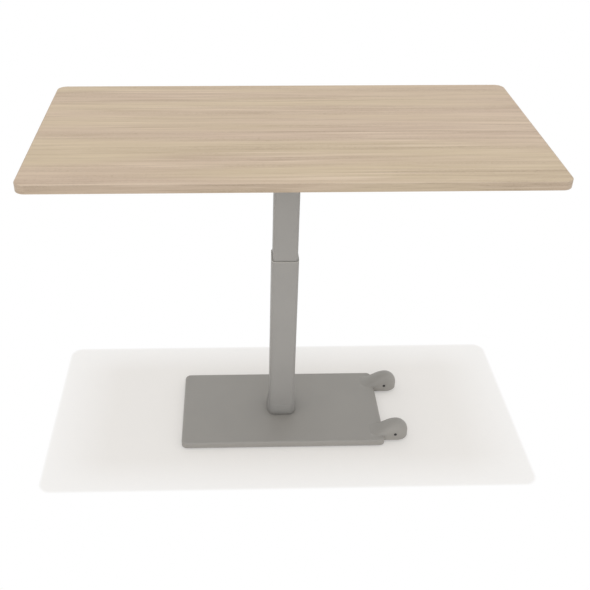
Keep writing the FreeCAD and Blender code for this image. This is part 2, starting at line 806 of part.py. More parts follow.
def make_tyre(face):
    """Soft tread with rounded shoulders."""
    y = face * wheel_y
    half = wheel_width / 2
    tread = crosswise(wheel_radius, axle_x, axle_height, y - half, y + half)
    rims = [e for e in tread.Edges if abs(e.BoundBox.YMax - e.BoundBox.YMin) < 1e-6]
    tread = tread.makeFillet(tyre_edge_radius, rims)
    return tread.cut(crosswise(wheel_radius - tyre_thickness, axle_x, axle_height, y - half, y + half))


def all_parts():
    parts = {
        "edge_band": make_edge_band(),
        "top_laminate": make_laminate(),
        "top_core": make_core(),
        "top_backer": make_backer(),
        "wood_screws": make_wood_screws(),
        "head_plate": make_head_plate(),
        "outer_tube": make_outer_tube(),
        "inner_tube": make_inner_tube(),
        "mouth_bush": make_mouth_bush(),
        "slide_shoe": make_slide_shoe(),
        "gas_cylinder": make_cylinder(),
        "cylinder_gland": make_gland(),
        "rod_seal": make_rod_seal(),
        "piston": make_piston(),
        "piston_seal": make_piston_seal(),
        "piston_rod": make_rod(),
        "rod_nut": make_rod_nut(),
        "stud_nut": make_stud_nut(),
        "valve_pin": make_valve_pin(),
        "release_lever": make_lever(),
        "lever_grip": make_grip(),
        "grip_screws": make_grip_screws(),
        "lever_bracket": make_lever_bracket(),
        "lever_pivot_pin": make_pivot_pin(),
        "base_cover": make_base_cover(),
        "ballast_plate": make_ballast_plate(),
        "foot_plate": make_foot_plate(),
        "foot_collar": make_foot_collar(),
        "column_bolts": make_column_bolts(),
        "cover_spacers": make_cover_spacers(),
        "housing_screws": make_housing_screws(),
    }
    for face, face_name in ((-1, "front"), (1, "rear")):
        parts[f"wheel_housing_{face_name}"] = make_housing(face)
        parts[f"wheel_axle_{face_name}"] = make_axle(face)
        parts[f"wheel_washers_{face_name}"] = make_washers(face)
        parts[f"wheel_hub_{face_name}"] = make_hub(face)
        parts[f"wheel_tyre_{face_name}"] = make_tyre(face)
        for side, side_name in ((-1, "left"), (1, "right")):
            parts[f"spider_arm_{face_name}_{side_name}"] = make_arm(side, face)
    for x, y in glide_points():
        name = f"{'front' if y < 0 else 'rear'}_{'left' if x < 0 else 'right'}"
        parts[f"glide_stem_{name}"] = make_glide_stem(x, y)
        parts[f"glide_pad_{name}"] = make_glide_pad(x, y)
    return parts


os.makedirs("parts", exist_ok=True)
for name, shape in all_parts().items():
    shape.exportStep(f"parts/{name}.step")
    print(name, len(shape.Solids), shape.isValid(), round(shape.Volume))
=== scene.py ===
import math

import bmesh
import bpy
from mathutils import Matrix, Vector


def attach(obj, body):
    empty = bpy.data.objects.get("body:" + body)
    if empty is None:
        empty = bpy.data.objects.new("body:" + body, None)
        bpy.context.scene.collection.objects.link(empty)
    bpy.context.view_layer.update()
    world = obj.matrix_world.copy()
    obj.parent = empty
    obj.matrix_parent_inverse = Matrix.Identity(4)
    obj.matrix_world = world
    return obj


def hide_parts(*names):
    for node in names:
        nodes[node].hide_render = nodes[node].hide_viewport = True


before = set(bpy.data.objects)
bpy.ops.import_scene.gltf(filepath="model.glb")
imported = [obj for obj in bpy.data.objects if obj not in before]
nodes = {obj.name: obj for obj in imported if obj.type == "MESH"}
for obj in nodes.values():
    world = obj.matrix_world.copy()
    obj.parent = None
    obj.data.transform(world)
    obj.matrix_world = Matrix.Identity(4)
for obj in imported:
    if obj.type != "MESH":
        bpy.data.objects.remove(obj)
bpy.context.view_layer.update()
scene = bpy.context.scene
scene.view_settings.view_transform = "Standard"
print("frame loaded:", len(nodes), "nodes")


# the photograph's view: focal length and optical centre in pixels of its square frame
view = {
    "place": (-0.16198, -2.36328, 2.08181),
    "pitch": 33.549,
    "yaw": 1.908,
    "roll": 0.429,
    "focal": 849.694,
    "centre": 259.012,
    "frame": 590,
    "sensor": 36.0,
    "clipEnd": 80.0,
}


def aimCamera():
    lens = bpy.data.cameras.new("photoCamera")
    lens.sensor_width = view["sensor"]
    lens.lens = view["focal"] * view["sensor"] / view["frame"]
    lens.shift_x = 0.5 - view["centre"] / view["frame"]
    lens.clip_end = view["clipEnd"]
    camera = bpy.data.objects.new("photoCamera", lens)
    turn = Matrix.Rotation(math.radians(-view["yaw"]), 4, "Z")
    tilt = Matrix.Rotation(math.radians(90 - view["pitch"]), 4, "X")
    roll = Matrix.Rotation(math.radians(view["roll"]), 4, "Z")
    camera.matrix_world = Matrix.Translation(view["place"]) @ turn @ tilt @ roll
    scene.collection.objects.link(camera)
    scene.camera = camera


aimCamera()
print("camera set")


# shader nodes: one call places a node, sets it up and wires it
def put(tree, kind, inputs=None, **settings):
    node = tree.nodes.new("ShaderNode" + kind)
    for name, value in settings.items():
        setattr(node, name, value)
    for key, value in (inputs or {}).items():
        if isinstance(value, bpy.types.NodeSocket):
            tree.links.new(value, node.inputs[key])
        else:
            node.inputs[key].default_value = value
    return node


def reckon(tree, operation, first, second):
    return put(tree, "Math", {0: first, 1: second}, operation=operation).outputs[0]


def times(tree, first, second):
    return reckon(tree, "MULTIPLY", first, second)


def plus(tree, first, second):
    return reckon(tree, "ADD", first, second)


def vectors(tree, operation, first, second):
    return put(tree, "VectorMath", {0: first, 1: second}, operation=operation).outputs[0]


def grains(tree, vector, scale, detail):
    return put(tree, "TexNoise", {"Vector": vector, "Scale": scale, "Detail": detail}).outputs[0]


# stretch is how often a noise changes in a metre, along each axis
def noise(tree, vector, stretch, detail=2.0, roughness=0.5):
    spread = vectors(tree, "MULTIPLY", vector, stretch)
    return put(tree, "TexNoise", {"Vector": spread, "Scale": 1.0, "Detail": detail,
                                  "Roughness": roughness}).outputs[0]


def ramp(tree, value, low, high, start=0.0, end=1.0):
    return put(tree, "MapRange", {0: value, 1: low, 2: high, 3: start, 4: end}).outputs[0]


# a noise cut to a range of its own and spread over a span
def layer(tree, vector, stretch, cut, span=(0.0, 1.0), detail=2.0, roughness=0.5):
    return ramp(tree, noise(tree, vector, stretch, detail, roughness), *cut, *span)


def mixColour(tree, factor, first, second, blend="MIX"):
    return put(tree, "Mix", {0: factor, 6: first, 7: second}, data_type="RGBA", blend_type=blend).outputs[2]


def tinted(tree, paint, tone):
    # a colour made a little lighter or darker all over by one value
    grey = put(tree, "CombineXYZ", {0: tone, 1: tone, 2: tone}).outputs[0]
    return mixColour(tree, 1.0, paint, grey, "MULTIPLY")


def newGroup(name, takes, gives):
    tree = bpy.data.node_groups.new(name, "ShaderNodeTree")
    for label, kind in takes:
        tree.interface.new_socket(label, in_out="INPUT", socket_type="NodeSocket" + kind)
    for label, kind in gives:
        tree.interface.new_socket(label, in_out="OUTPUT", socket_type="NodeSocket" + kind)
    return tree, tree.nodes.new("NodeGroupInput").outputs, tree.nodes.new("NodeGroupOutput").inputs


def colour(red, green, blue):
    def linear(level):
        level /= 255
        return level / 12.92 if level <= 0.04045 else ((level + 0.055) / 1.055) ** 2.4
    return (linear(red), linear(green), linear(blue), 1.0)


skinGives = [("Color", "Color"), ("Roughness", "Float"), ("Height", "Float")]
middle = (0.3, 0.7)   # the range that most of a noise lies in

# wood figure, built up in layers
oak = {
    "drift": (0.8, 2.0, 2.0),
    "wander": (0.0, 0.012, 0.012),     # how far the lines bend, in metres
    "aside": (3.1, 1.7, 0.9),          # some layers are read at another place
    "hue": {"stretch": (0.7, 6.0, 6.0), "cut": (0.40, 0.60), "detail": 1.5},
    "broad": {"stretch": (1.1, 26.0, 26.0), "cut": (0.36, 0.66)},
    "busy": {"stretch": (1.0, 9.0, 9.0), "cut": (0.38, 0.62), "span": (0.36, 1.0)},
    "lines": {"stretch": (2.4, 92.0, 92.0), "cut": (0.45, 0.72), "detail": 3.0, "roughness": 0.6},
    "light": {"stretch": (2.0, 78.0, 78.0), "cut": (0.50, 0.72), "roughness": 0.55},
    "streaks": {"stretch": (4.5, 290.0, 290.0), "cut": (0.45, 0.72)},
    "pores": {"stretch": (28.0, 1500.0, 1500.0), "cut": (0.58, 0.70), "detail": 1.0},
    "ticks": {"stretch": (90.0, 1700.0, 1700.0), "cut": (0.58, 0.66), "detail": 1.0},
    "tickGround": (0.25, 0.75),
    "darkens": {"broad": 0.24, "lines": 0.66, "streaks": 0.26, "pores": 0.22, "ticks": 0.80},
    "lightens": 0.72,
    "gloss": (0.46, 0.62),
    "streakRelief": 0.35,
}


def makeOakFigure():
    tree, takes, gives = newGroup(
        "oakFigure",
        [("Vector", "Vector"), ("Tan", "Color"), ("Straw", "Color"), ("Pale", "Color"), ("Brown", "Color"),
         ("Strength", "Float")], skinGives)
    link = tree.links.new
    # the lines run almost straight
    drift = vectors(tree, "MULTIPLY", takes["Vector"], oak["drift"])
    wander = put(tree, "TexNoise", {"Vector": drift, "Scale": 1.0, "Detail": 1.0}).outputs["Color"]
    centred = vectors(tree, "SUBTRACT", wander, (0.5, 0.5, 0.5))
    bent = vectors(tree, "ADD", takes["Vector"], vectors(tree, "MULTIPLY", centred, oak["wander"]))
    aside = vectors(tree, "ADD", bent, oak["aside"])
    hue = layer(tree, bent, **oak["hue"])
    broad = layer(tree, aside, **oak["broad"])
    # some stretches are lively and others nearly plain
    busy = layer(tree, aside, **oak["busy"])
    lines = times(tree, layer(tree, bent, **oak["lines"]), busy)
    light = times(tree, layer(tree, aside, **oak["light"]), busy)
    streaks = layer(tree, aside, **oak["streaks"])
    pores = layer(tree, bent, **oak["pores"])
    ticks = times(tree, layer(tree, aside, **oak["ticks"]), ramp(tree, broad, *oak["tickGround"]))
    dark = times(tree, broad, oak["darkens"]["broad"])
    for mark, name in ((lines, "lines"), (streaks, "streaks"), (pores, "pores"), (ticks, "ticks")):
        dark = plus(tree, dark, times(tree, mark, oak["darkens"][name]))
    base = mixColour(tree, hue, takes["Tan"], takes["Straw"])
    stained = mixColour(tree, times(tree, dark, takes["Strength"]), base, takes["Brown"])
    link(mixColour(tree, times(tree, light, oak["lightens"]), stained, takes["Pale"]), gives["Color"])
    link(ramp(tree, plus(tree, streaks, pores), 0.0, 2.0, *oak["gloss"]), gives["Roughness"])
    relief = plus(tree, times(tree, streaks, oak["streakRelief"]), plus(tree, pores, ticks))
    link(times(tree, relief, -1.0), gives["Height"])
    return tree


# powder coat: fine sandy grain over a slow change of tone, paler where an edge is rubbed, which is wear and
# also a painted highlight
coat = {
    "fineDetail": 2.0,
    "speckFiner": 2.7,
    "speckDetail": 1.0,
    "cloudScale": 7.0,
    "cloudDetail": 3.0,
    "cloudTone": (0.955, 1.01),
    "speckTone": (-0.05, 0.05),
    # the pale edge colour stands for wear and for a painted highlight
    "bare": (0.8, 0.8, 0.78, 1.0),
    "bareAndHighlightShare": 0.16,
    "cloudGloss": (-0.04, 0.05),
    "rubGloss": 0.12,
    "speckRelief": 0.6,
}


def makePaintSkin():
    tree, takes, gives = newGroup(
        "paintSkin",
        [("Vector", "Vector"), ("Paint", "Color"), ("Grain", "Float"), ("Gloss", "Float"), ("Rub", "Float")],
        skinGives)
    link = tree.links.new
    finer = times(tree, takes["Grain"], coat["speckFiner"])
    fine = grains(tree, takes["Vector"], takes["Grain"], coat["fineDetail"])
    speck = grains(tree, takes["Vector"], finer, coat["speckDetail"])
    cloud = grains(tree, takes["Vector"], coat["cloudScale"], coat["cloudDetail"])
    speckTone = ramp(tree, speck, *middle, *coat["speckTone"])
    tone = plus(tree, ramp(tree, cloud, *middle, *coat["cloudTone"]), speckTone)
    paint = tinted(tree, takes["Paint"], tone)
    wornAndHighlit = mixColour(tree, coat["bareAndHighlightShare"], takes["Paint"], coat["bare"])
    link(mixColour(tree, takes["Rub"], paint, wornAndHighlit), gives["Color"])
    rough = plus(tree, takes["Gloss"], ramp(tree, cloud, *middle, *coat["cloudGloss"]))
    smoother = times(tree, takes["Rub"], coat["rubGloss"])
    link(reckon(tree, "SUBTRACT", rough, smoother), gives["Roughness"])
    link(plus(tree, fine, times(tree, speck, coat["speckRelief"])), gives["Height"])
    return tree


# rubbed edges with a painted highlight: where a corner turns sharply within the radius, in patches
wornHighlitMarks = {"turn": (0.97, 0.80), "samples": 4,
            "patches": {"stretch": (90.0, 90.0, 90.0), "cut": (0.38, 0.62), "detail": 3.0}}


def makeWornHighlitEdge():
    tree, takes, gives = newGroup(
        "wornHighlitEdge", [("Vector", "Vector"), ("Radius", "Float"), ("Amount", "Float")], [("Mask", "Float")])
    rounded = put(tree, "Bevel", {"Radius": takes["Radius"]}, samples=wornHighlitMarks["samples"]).outputs[0]
    facing = put(tree, "NewGeometry").outputs["Normal"]
    agree = put(tree, "VectorMath", {0: rounded, 1: facing}, operation="DOT_PRODUCT").outputs["Value"]
    corner = ramp(tree, agree, *wornHighlitMarks["turn"])
    patchy = layer(tree, takes["Vector"], **wornHighlitMarks["patches"])
    tree.links.new(times(tree, times(tree, corner, patchy), takes["Amount"]), gives["Mask"])
    return tree


# moulded plastic and rubber: the tool's eroded grain, with faint flow marks
mould = {
    "flow": (22.0, 40.0, 60.0),
    "flowTone": (0.93, 1.04),
    "cellRange": (0.1, 0.8),
    "cellTone": (0.05, -0.05),
    "flowGloss": (-0.05, 0.06),
    "fineDetail": 2.0,
    "fineRelief": 0.5,
}


def makeMouldSkin():
    tree, takes, gives = newGroup(
        "mouldSkin", [("Vector", "Vector"), ("Paint", "Color"), ("Grain", "Float"), ("Gloss", "Float")],
        skinGives)
    link = tree.links.new
    cells = put(tree, "TexVoronoi", {"Vector": takes["Vector"], "Scale": takes["Grain"]}).outputs["Distance"]
    fine = grains(tree, takes["Vector"], takes["Grain"], mould["fineDetail"])
    flow = noise(tree, takes["Vector"], mould["flow"])
    cellTone = ramp(tree, cells, *mould["cellRange"], *mould["cellTone"])
    tone = plus(tree, ramp(tree, flow, *middle, *mould["flowTone"]), cellTone)
    link(tinted(tree, takes["Paint"], tone), gives["Color"])
    link(plus(tree, takes["Gloss"], ramp(tree, flow, *middle, *mould["flowGloss"])), gives["Roughness"])
    link(plus(tree, cells, times(tree, fine, mould["fineRelief"])), gives["Height"])
    return tree


# plated steel: two tints in soft blotches and fine draw marks
plating = {
    "blotch": {"stretch": (160.0, 160.0, 160.0), "cut": (0.38, 0.64), "detail": 3.0},
    "marks": (300.0, 300.0, 4200.0),
    "markGloss": (-0.06, 0.10),
    "blotchGloss": 0.05,
}


def makePlatedSkin():
    tree, takes, gives = newGroup(
        "platedSkin", [("Vector", "Vector"), ("Metal", "Color"), ("Tint", "Color"), ("Gloss", "Float")],
        skinGives)
    link = tree.links.new
    blotch = layer(tree, takes["Vector"], **plating["blotch"])
    marks = noise(tree, takes["Vector"], plating["marks"])
    link(mixColour(tree, blotch, takes["Metal"], takes["Tint"]), gives["Color"])
    rough = plus(tree, takes["Gloss"], ramp(tree, marks, *middle, *plating["markGloss"]))
    link(plus(tree, rough, times(tree, blotch, plating["blotchGloss"])), gives["Roughness"])
    link(marks, gives["Height"])
    return tree


# backing sheet and bare board: short fibres or chips over soft mottling, sanded along the length
paper = {
    "mottle": {"stretch": (30.0, 30.0, 30.0), "detail": 3.0},
    "mottleTone": (0.96, 1.02),
    "sanding": (12.0, 900.0, 900.0),
    "sandTone": (-0.03, 0.03),
    "sandGloss": (-0.05, 0.05),
    "fibre": {"stretch": (160.0, 620.0, 620.0), "detail": 3.0, "roughness": 0.6},
    "fibreCut": (0.56, 0.72),
    "fibreShare": (0.0, 0.45),
}


def makePaperSkin():
    tree, takes, gives = newGroup(
        "paperSkin", [("Vector", "Vector"), ("Paint", "Color"), ("Fleck", "Color"), ("Gloss", "Float")],
        skinGives)
    link = tree.links.new
    mottle = noise(tree, takes["Vector"], **paper["mottle"])
    sanding = noise(tree, takes["Vector"], paper["sanding"])
    fibre = noise(tree, takes["Vector"], **paper["fibre"])
    sandTone = ramp(tree, sanding, *middle, *paper["sandTone"])
    tone = plus(tree, ramp(tree, mottle, *middle, *paper["mottleTone"]), sandTone)
    flecks = ramp(tree, fibre, *paper["fibreCut"], *paper["fibreShare"])
    link(mixColour(tree, flecks, tinted(tree, takes["Paint"], tone), takes["Fleck"]), gives["Color"])
    link(plus(tree, takes["Gloss"], ramp(tree, sanding, *middle, *paper["sandGloss"])), gives["Roughness"])
    link(plus(tree, sanding, fibre), gives["Height"])
    return tree


oakFigure = makeOakFigure()
paintSkin = makePaintSkin()
wornHighlitEdge = makeWornHighlitEdge()
mouldSkin = makeMouldSkin()
platedSkin = makePlatedSkin()
paperSkin = makePaperSkin()
materials = {}


def newMaterial(name, **fixed):
    material = bpy.data.materials.new(name)
    material.use_nodes = True
    tree = material.node_tree
    shader = tree.nodes["Principled BSDF"]
    for key, value in fixed.items():
        shader.inputs[key.replace("_", " ")].default_value = value
    materials[name] = material
    return tree, shader


def placeGroup(tree, group, values, spot):
    skin = tree.nodes.new("ShaderNodeGroup")
    skin.node_tree = group
    tree.links.new(spot, skin.inputs["Vector"])
    for key, value in values.items():
        skin.inputs[key].default_value = value
    return skin


def dress(tree, shader, group, values, relief, uvMap=None):
    if uvMap:
        spot = put(tree, "UVMap", uv_map=uvMap).outputs[0]
    else:
        spot = put(tree, "TexCoord").outputs["Object"]
    skin = placeGroup(tree, group, values, spot)
    tree.links.new(skin.outputs["Color"], shader.inputs["Base Color"])
    tree.links.new(skin.outputs["Roughness"], shader.inputs["Roughness"])
    bump = put(tree, "Bump", {"Height": skin.outputs["Height"], **relief})
    tree.links.new(bump.outputs[0], shader.inputs["Normal"])
    return skin, spot


softRelief = {"Distance": 0.0002, "Strength": 0.25}
coatRelief = {"Distance": 0.0003, "Strength": 0.34}
metalRelief = {"Distance": 0.0001, "Strength": 0.10}

# decor sheet and edge band share one figure; the band's runs along its own length
woods = {
    "oak_laminate": {"Tan": colour(201, 179, 157), "Straw": colour(202, 183, 154),
                     "Pale": colour(217, 197, 173), "Brown": colour(158, 136, 114), "Strength": 0.68},
    "edge_band": {"Tan": colour(197, 178, 158), "Straw": colour(198, 181, 157),
                  "Pale": colour(211, 194, 174), "Brown": colour(152, 134, 113), "Strength": 0.88},
}
woodShine = 0.38
for name, values in woods.items():
    tree, shader = newMaterial(name, Specular_IOR_Level=woodShine)
    dress(tree, shader, oakFigure, values, softRelief, "bandRun" if name == "edge_band" else None)

paints = {
    "grey_paint": {"Paint": colour(163, 160, 155), "Grain": 700.0, "Gloss": 0.50},
    # painted shade: the column takes the base's grey paint a little darker
    "column_grey_shaded": {"Paint": colour(159, 157, 154), "Grain": 700.0, "Gloss": 0.50},
    "housing_paint": {"Paint": colour(161, 158, 153), "Grain": 800.0, "Gloss": 0.48},
    "black_paint": {"Paint": colour(38, 38, 40), "Grain": 700.0, "Gloss": 0.48},
}
# edges painted paler: partly wear, partly painted highlight
wornHighlit = {"Radius": 0.0016, "Amount": 0.8}
for name, values in paints.items():
    tree, shader = newMaterial(name)
    skin, spot = dress(tree, shader, paintSkin, values, coatRelief)
    edge = placeGroup(tree, wornHighlitEdge, wornHighlit, spot)
    tree.links.new(edge.outputs["Mask"], skin.inputs["Rub"])

moulds = {
    "boot_grey": {"Paint": colour(152, 150, 146), "Grain": 900.0, "Gloss": 0.56},
    # painted light: the mouth bush is made pale to lift the shade on its rim
    "bush_grey_painted_light": {"Paint": colour(180, 178, 173), "Grain": 1400.0, "Gloss": 0.50},
    "grey_plastic": {"Paint": colour(148, 146, 141), "Grain": 1400.0, "Gloss": 0.52},
    "black_plastic": {"Paint": colour(30, 30, 32), "Grain": 1200.0, "Gloss": 0.50},
    "black_rubber": {"Paint": colour(24, 24, 25), "Grain": 1500.0, "Gloss": 0.72},
    "tyre_rubber": {"Paint": colour(52, 52, 53), "Grain": 900.0, "Gloss": 0.70},
}
bootPaintedShade = {"dark": colour(134, 132, 128), "low": 0.028, "high": 0.074}   # painted shade: darker towards the plate
for name, values in moulds.items():
    tree, shader = newMaterial(name)
    skin, spot = dress(tree, shader, mouldSkin, values, softRelief)
    if name == "boot_grey":
        # painted shade: the lowest part, where it meets the plate, is painted darker
        height = put(tree, "SeparateXYZ", {0: spot}).outputs["Z"]
        fade = ramp(tree, height, bootPaintedShade["low"], bootPaintedShade["high"])
        shade = mixColour(tree, fade, bootPaintedShade["dark"], paints["column_grey_shaded"]["Paint"])
        tree.links.new(shade, skin.inputs["Paint"])

sheets = {
    "backer_sheet": {"Paint": colour(186, 180, 170), "Fleck": colour(166, 158, 146), "Gloss": 0.66},
    "board": {"Paint": colour(190, 165, 125), "Fleck": colour(146, 116, 78), "Gloss": 0.80},
}
for name, values in sheets.items():
    tree, shader = newMaterial(name)
    dress(tree, shader, paperSkin, values, softRelief)

metals = {
    "zinc_steel": {"Metal": colour(198, 199, 199), "Tint": colour(188, 187, 178), "Gloss": 0.32},
    "dark_steel": {"Metal": colour(30, 30, 31), "Tint": colour(40, 38, 36), "Gloss": 0.46},
    "chromed_rod": {"Metal": colour(225, 226, 228), "Tint": colour(219, 221, 225), "Gloss": 0.10},
}
for name, values in metals.items():
    tree, shader = newMaterial(name, Metallic=1.0)
    dress(tree, shader, platedSkin, values, metalRelief)

# these nodes have a finish of their own, and the rest take their slot's
ownFinish = {"foot_collar": "boot_grey", "mouth_bush": "bush_grey_painted_light",
             "outer_tube": "column_grey_shaded", "inner_tube": "column_grey_shaded"}
for name, node in nodes.items():
    slotName = node.data.materials[0].name.split(".")[0]
    node.data.materials[0] = materials[ownFinish.get(name, slotName)]
print("materials:", len(materials))


mergeGap = 1e-6   # points nearer than this are one


def addPiece(mesh, name, body, slotName, stands=(), sharp=35):
    bmesh.ops.remove_doubles(mesh, verts=mesh.verts, dist=mergeGap)
    bmesh.ops.recalc_face_normals(mesh, faces=mesh.faces)
    data = bpy.data.meshes.new(name)
    mesh.to_mesh(data)
    mesh.free()
    data.shade_smooth()
    data.set_sharp_from_angle(angle=math.radians(sharp))
    data.materials.append(materials[slotName])
    piece = bpy.data.objects.new(name, data)
    scene.collection.objects.link(piece)
    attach(piece, body)
    if stands:
        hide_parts(*stands)
    return piece


def only(items, kind):
    return [item for item in items if isinstance(item, kind)]


def once(items):
    # each item one time, in the order they come
    return list(dict.fromkeys(items))


def bevelEdges(mesh, edges, width, segments):
    return bmesh.ops.bevel(mesh, geom=edges, offset=width, offset_type="OFFSET", affect="EDGES",
                           segments=segments, profile=0.5, material=-1)


def roundedPlate(length, depth, level, corner, steps):
    mesh = bmesh.new()
    bmesh.ops.create_grid(mesh, x_segments=1, y_segments=1, size=0.5)
    bmesh.ops.scale(mesh, verts=mesh.verts, vec=(length, depth, 1))
    bmesh.ops.translate(mesh, verts=mesh.verts, vec=(0, 0, level))
    bmesh.ops.bevel(mesh, geom=mesh.verts[:], offset=corner, offset_type="OFFSET", affect="VERTICES",
                    segments=steps, profile=0.5, material=-1)
    return mesh


def insetRing(mesh, faces, width):
    bmesh.ops.inset_region(mesh, faces=faces, thickness=width, use_even_offset=True, use_boundary=True)


def liesLevel(edge):
    return abs(edge.verts[0].co.z - edge.verts[1].co.z) < mergeGap


# edge band: a ring round the board, eased above and below, with its running length as UV
band = {
    "length": 1.473,
    "depth": 0.737,
    "corner": 0.030,
    "low": 1.078,
    "high": 1.103,
    "thick": 0.002,
    "ease": 0.0015,
    "easeSteps": 4,
    "cornerSteps": 16,
    "sideSteps": 24,
    "sideFrom": 0.2,      # edges longer than this are sides
    "seamNudge": 1e-4,
    "outsideGap": 1e-5,
    "figure": 2.2,        # how much finer the wood figure is than on the top
}


def bandRun(point):
    across, along = band["length"] / 2 - band["corner"], band["depth"] / 2 - band["corner"]
    nearX = max(-across, min(across, point.x))
    nearY = max(-along, min(along, point.y))
    turn = (math.atan2(point.y - nearY, point.x - nearX) + math.pi / 2 + band["seamNudge"]) % (2 * math.pi)
    run = band["corner"] * turn
    side = int(turn // (math.pi / 2))
    run += sum((2 * across, 2 * along, 2 * across)[:side])
    run += (nearX + across, nearY + along, across - nearX, along - nearY)[side]
    inward = band["corner"] - math.hypot(point.x - nearX, point.y - nearY)
    return run, point.z - band["low"] + inward


def onOutside(vert):
    return bandRun(vert.co)[1] - vert.co.z + band["low"] < band["outsideGap"]


def makeEdgeBand():
    mesh = roundedPlate(band["length"], band["depth"], band["low"], band["corner"], band["cornerSteps"])
    sides = [edge for edge in mesh.edges if edge.calc_length() > band["sideFrom"]]
    bmesh.ops.subdivide_edges(mesh, edges=sides, cuts=band["sideSteps"])
    inner = mesh.faces[:]
    insetRing(mesh, inner, band["thick"])
    bmesh.ops.delete(mesh, geom=inner, context="FACES")
    raised = bmesh.ops.extrude_face_region(mesh, geom=mesh.faces[:])["geom"]
    top = only(raised, bmesh.types.BMVert)
    bmesh.ops.translate(mesh, verts=top, vec=(0, 0, band["high"] - band["low"]))
    rims = [edge for edge in mesh.edges if all(onOutside(vert) for vert in edge.verts) and liesLevel(edge)]
    bevelEdges(mesh, rims, band["ease"], band["easeSteps"])
    uv = mesh.loops.layers.uv.new("bandRun")
    around = 2 * (band["length"] + band["depth"]) - band["corner"] * (8 - 2 * math.pi)
    for face in mesh.faces:
        runs = [bandRun(loop.vert.co) for loop in face.loops]
        furthest = max(run for run, rise in runs)
        for loop, (run, rise) in zip(face.loops, runs):
            run += around if furthest - run > around / 2 else 0
            loop[uv].uv = (run * band["figure"], rise * band["figure"])
    addPiece(mesh, "edgeBand", "lift", "edge_band", ["edge_band"])


makeEdgeBand()
print("edge band laid")


def turnProfile(mesh, profile, centre, axis, steps, closed=True):
    # profile points are (distance along the axis, radius)
    centre, axis = Vector(centre), Vector(axis)
    verts = [mesh.verts.new(centre + axis * along + Vector((radius, 0, 0))) for along, radius in profile]
    edges = [mesh.edges.new(pair) for pair in zip(verts, verts[1:])]
    if closed:
        edges.append(mesh.edges.new((verts[-1], verts[0])))
    bmesh.ops.spin(mesh, geom=verts + edges, cent=centre, axis=axis, angle=2 * math.pi, steps=steps,
                   use_merge=True)
    bmesh.ops.remove_doubles(mesh, verts=mesh.verts, dist=mergeGap)


def inMetres(profile):
    return [(along / 1000, radius / 1000) for along, radius in profile]


def stepRound(first, second, steps):
    # which of the steps round an axis a point lies in
    return round(math.atan2(second, first) / (2 * math.pi) * steps - 0.5) % steps


def sinkFaces(mesh, faces, margin, depth):
    # each face gets a small rim and drops straight in
    bmesh.ops.inset_individual(mesh, faces=faces, thickness=margin, use_even_offset=True)
    for face in faces:
        bmesh.ops.translate(mesh, verts=face.verts, vec=face.normal * -depth)


# screws: pan head with a cross recess, drive side down; the shape is in shares of a screw's own sizes
screw = {
    "steps": 24,
    "point": 1.2,
    "dome": ((0.0, 1.0), (0.40, 1.0), (0.70, 0.94), (0.93, 0.80), (1.0, 0.62)),
    "cross": 0.46,
    "tipsPast": 0.1,
    "taper": 0.72,
    "sink": 0.62,
}
woodScrews = {"size": {"head": 0.005, "height": 0.003, "shank": 0.0025, "length": 0.019},
              "seat": 1.075, "armAngle": 27.0, "reaches": (0.15346, 0.32173, 0.490), "spin": 0.83}
housingScrews = {"size": {"head": 0.0045, "height": 0.003, "shank": 0.0025, "length": 0.022},
                 "seat": 0.010, "back": 0.3375, "wheel": 0.133, "apart": 0.022, "spin": 1.1}
gripScrews = {"size": {"head": 0.004, "height": 0.002, "shank": 0.002, "length": 0.0065},
              "seat": 1.0665, "places": (-0.2895, -0.2595), "spin": 0.6}
leverRest = {"pivot": (0.0, -0.042, 1.0628), "drop": 3.4126}


def makeScrewShape(head, height, shank, length):
    mesh = bmesh.new()
    profile = [(length, 0.0), (length - screw["point"] * shank, shank), (0.0, shank)]
    profile += [(-rise * height, out * head) for rise, out in screw["dome"]]
    turnProfile(mesh, profile, (0, 0, 0), (0, 0, 1), screw["steps"], closed=False)
    rim = [edge for edge in mesh.edges if edge.is_boundary]
    cross = bmesh.ops.create_grid(mesh, x_segments=3, y_segments=3, size=screw["cross"] * head)["verts"]
    bmesh.ops.translate(mesh, verts=cross, vec=(0, 0, -height))
    tiles = once(face for vert in cross for face in vert.link_faces)
    tips = []
    for face in tiles:
        spot = face.calc_center_median()
        if min(abs(spot.x), abs(spot.y)) > screw["tipsPast"] * head:
            tips.append(face)
    bmesh.ops.delete(mesh, geom=tips, context="FACES")
    arms = [face for face in tiles if face.is_valid]
    bays = once(edge for face in arms for edge in face.edges if edge.is_boundary)
    bmesh.ops.bridge_loops(mesh, edges=rim + bays)
    sunk = bmesh.ops.extrude_face_region(mesh, geom=arms)["geom"]
    bmesh.ops.delete(mesh, geom=arms, context="FACES_ONLY")
    floor = only(sunk, bmesh.types.BMVert)
    bmesh.ops.scale(mesh, verts=floor, vec=(screw["taper"], screw["taper"], 1))
    bmesh.ops.translate(mesh, verts=floor, vec=(0, 0, screw["sink"] * height))
    shape = bpy.data.meshes.new("screwShape")
    bmesh.ops.recalc_face_normals(mesh, faces=mesh.faces)
    mesh.to_mesh(shape)
    mesh.free()
    return shape


def setScrews(screws, places):
    shape = makeScrewShape(**screws["size"])
    mesh = bmesh.new()
    for index, place in enumerate(places):
        before = len(mesh.verts)
        mesh.from_mesh(shape)
        mesh.verts.ensure_lookup_table()
        fresh = mesh.verts[before:]
        turn = Matrix.Rotation(index * screws["spin"], 3, "Z")
        bmesh.ops.rotate(mesh, verts=fresh, cent=(0, 0, 0), matrix=turn)
        bmesh.ops.translate(mesh, verts=fresh, vec=place)
    bpy.data.meshes.remove(shape)
    return mesh


def dropLever(mesh):
    turn = Matrix.Rotation(math.radians(leverRest["drop"]), 3, "X")
    bmesh.ops.rotate(mesh, verts=mesh.verts, cent=leverRest["pivot"], matrix=turn)


